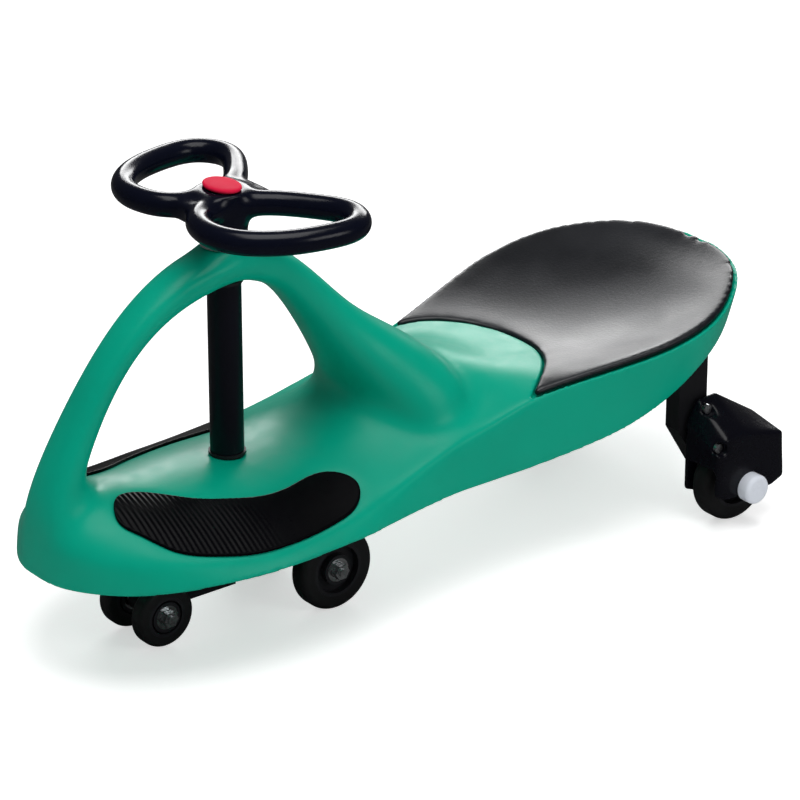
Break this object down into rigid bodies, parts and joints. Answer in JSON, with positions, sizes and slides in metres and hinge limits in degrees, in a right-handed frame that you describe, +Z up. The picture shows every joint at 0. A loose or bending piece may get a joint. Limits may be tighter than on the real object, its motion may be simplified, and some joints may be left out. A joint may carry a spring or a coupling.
{
  "type": "swing car",
  "caption": "Child's ride-on swing car: hollow moulded body with a hoop, dished seat, foot pads, butterfly steering wheel on a swinging wheel carrier, and rear wheels in housings.",
  "frame": {"origin": "on the ground below the middle of the overall length and width", "axes": "+X forward, +Y to the rider's left, +Z up"},
  "size_m": [0.754, 0.346, 0.401],
  "materials": {
    "body_green": "satin moulded polypropylene",
    "seat_black": "fine leather grain",
    "pad_black": "glossy rubber with fine ribs",
    "zinc_steel": "zinc plated",
    "bearing_steel": "ground",
    "nylon": "black nylon",
    "wheel_gloss_black": "gloss",
    "cap_red": "gloss",
    "sleeve_black": "semi-gloss",
    "frame_black": "black powder coat",
    "housing_black": "gloss",
    "cap_white": "gloss",
    "tyre_black": "polyurethane, satin",
    "core_black": "moulded nylon"
  },
  "bodies": {
    "body": {"body_shell": "body_green", "seat_pad": "seat_black", "seat_screws": "zinc_steel", "lower_bush": "nylon", "upper_bush": "nylon", "body_screws": "zinc_steel", "foot_pad_left": "pad_black", "foot_pad_right": "pad_black", "rear_strut_left": "frame_black", "rear_strut_right": "frame_black", "wheel_housing_left": "housing_black", "wheel_housing_right": "housing_black", "housing_bolts_left": "zinc_steel", "housing_bolts_right": "zinc_steel", "rear_axle_left": "zinc_steel", "rear_axle_right": "zinc_steel", "rear_hardware_left": "zinc_steel", "rear_hardware_right": "zinc_steel", "axle_cap_left": "cap_white", "axle_cap_right": "cap_white"},
    "steering": {"steering_wheel": "wheel_gloss_black", "hub_cap": "cap_red", "wheel_nut": "zinc_steel", "thrust_washer": "zinc_steel", "steering_shaft": "zinc_steel", "column_sleeve": "sleeve_black", "wheel_pin": "zinc_steel", "carrier_pin": "zinc_steel", "wheel_carrier": "frame_black", "main_axle": "zinc_steel", "main_hardware": "zinc_steel", "safety_axle": "zinc_steel", "safety_hardware": "zinc_steel"},
    "main_wheel_left": {"main_tyre_left": "tyre_black", "main_core_left": "core_black", "main_bearings_left": "bearing_steel"},
    "main_wheel_right": {"main_tyre_right": "tyre_black", "main_core_right": "core_black", "main_bearings_right": "bearing_steel"},
    "safety_wheel_left": {"safety_tyre_left": "tyre_black", "safety_core_left": "core_black", "safety_bearings_left": "bearing_steel"},
    "safety_wheel_right": {"safety_tyre_right": "tyre_black", "safety_core_right": "core_black", "safety_bearings_right": "bearing_steel"},
    "rear_wheel_left": {"rear_tyre_left": "tyre_black", "rear_core_left": "core_black", "rear_bearings_left": "bearing_steel"},
    "rear_wheel_right": {"rear_tyre_right": "tyre_black", "rear_core_right": "core_black", "rear_bearings_right": "bearing_steel"}
  },
  "joints": [
    {"name": "steering_turn", "type": "hinge", "parent": "body", "child": "steering", "pos_m": [0.174, 0, 0.35], "axis": [0, 0, 1], "continuous": true},
    {"name": "main_spin_left", "type": "hinge", "parent": "steering", "child": "main_wheel_left", "pos_m": [0.1015, 0.053, 0.0385], "axis": [0, 1, 0], "continuous": true},
    {"name": "main_spin_right", "type": "hinge", "parent": "steering", "child": "main_wheel_right", "pos_m": [0.1015, -0.053, 0.0385], "axis": [0, 1, 0], "continuous": true},
    {"name": "safety_spin_left", "type": "hinge", "parent": "steering", "child": "safety_wheel_left", "pos_m": [0.264, 0.0245, 0.0305], "axis": [0, 1, 0], "continuous": true},
    {"name": "safety_spin_right", "type": "hinge", "parent": "steering", "child": "safety_wheel_right", "pos_m": [0.264, -0.0245, 0.0305], "axis": [0, 1, 0], "continuous": true},
    {"name": "rear_spin_left", "type": "hinge", "parent": "body", "child": "rear_wheel_left", "pos_m": [-0.3, 0.134, 0.0395], "axis": [0, 1, 0], "continuous": true},
    {"name": "rear_spin_right", "type": "hinge", "parent": "body", "child": "rear_wheel_right", "pos_m": [-0.3, -0.134, 0.0395], "axis": [0, 1, 0], "continuous": true}
  ]
}
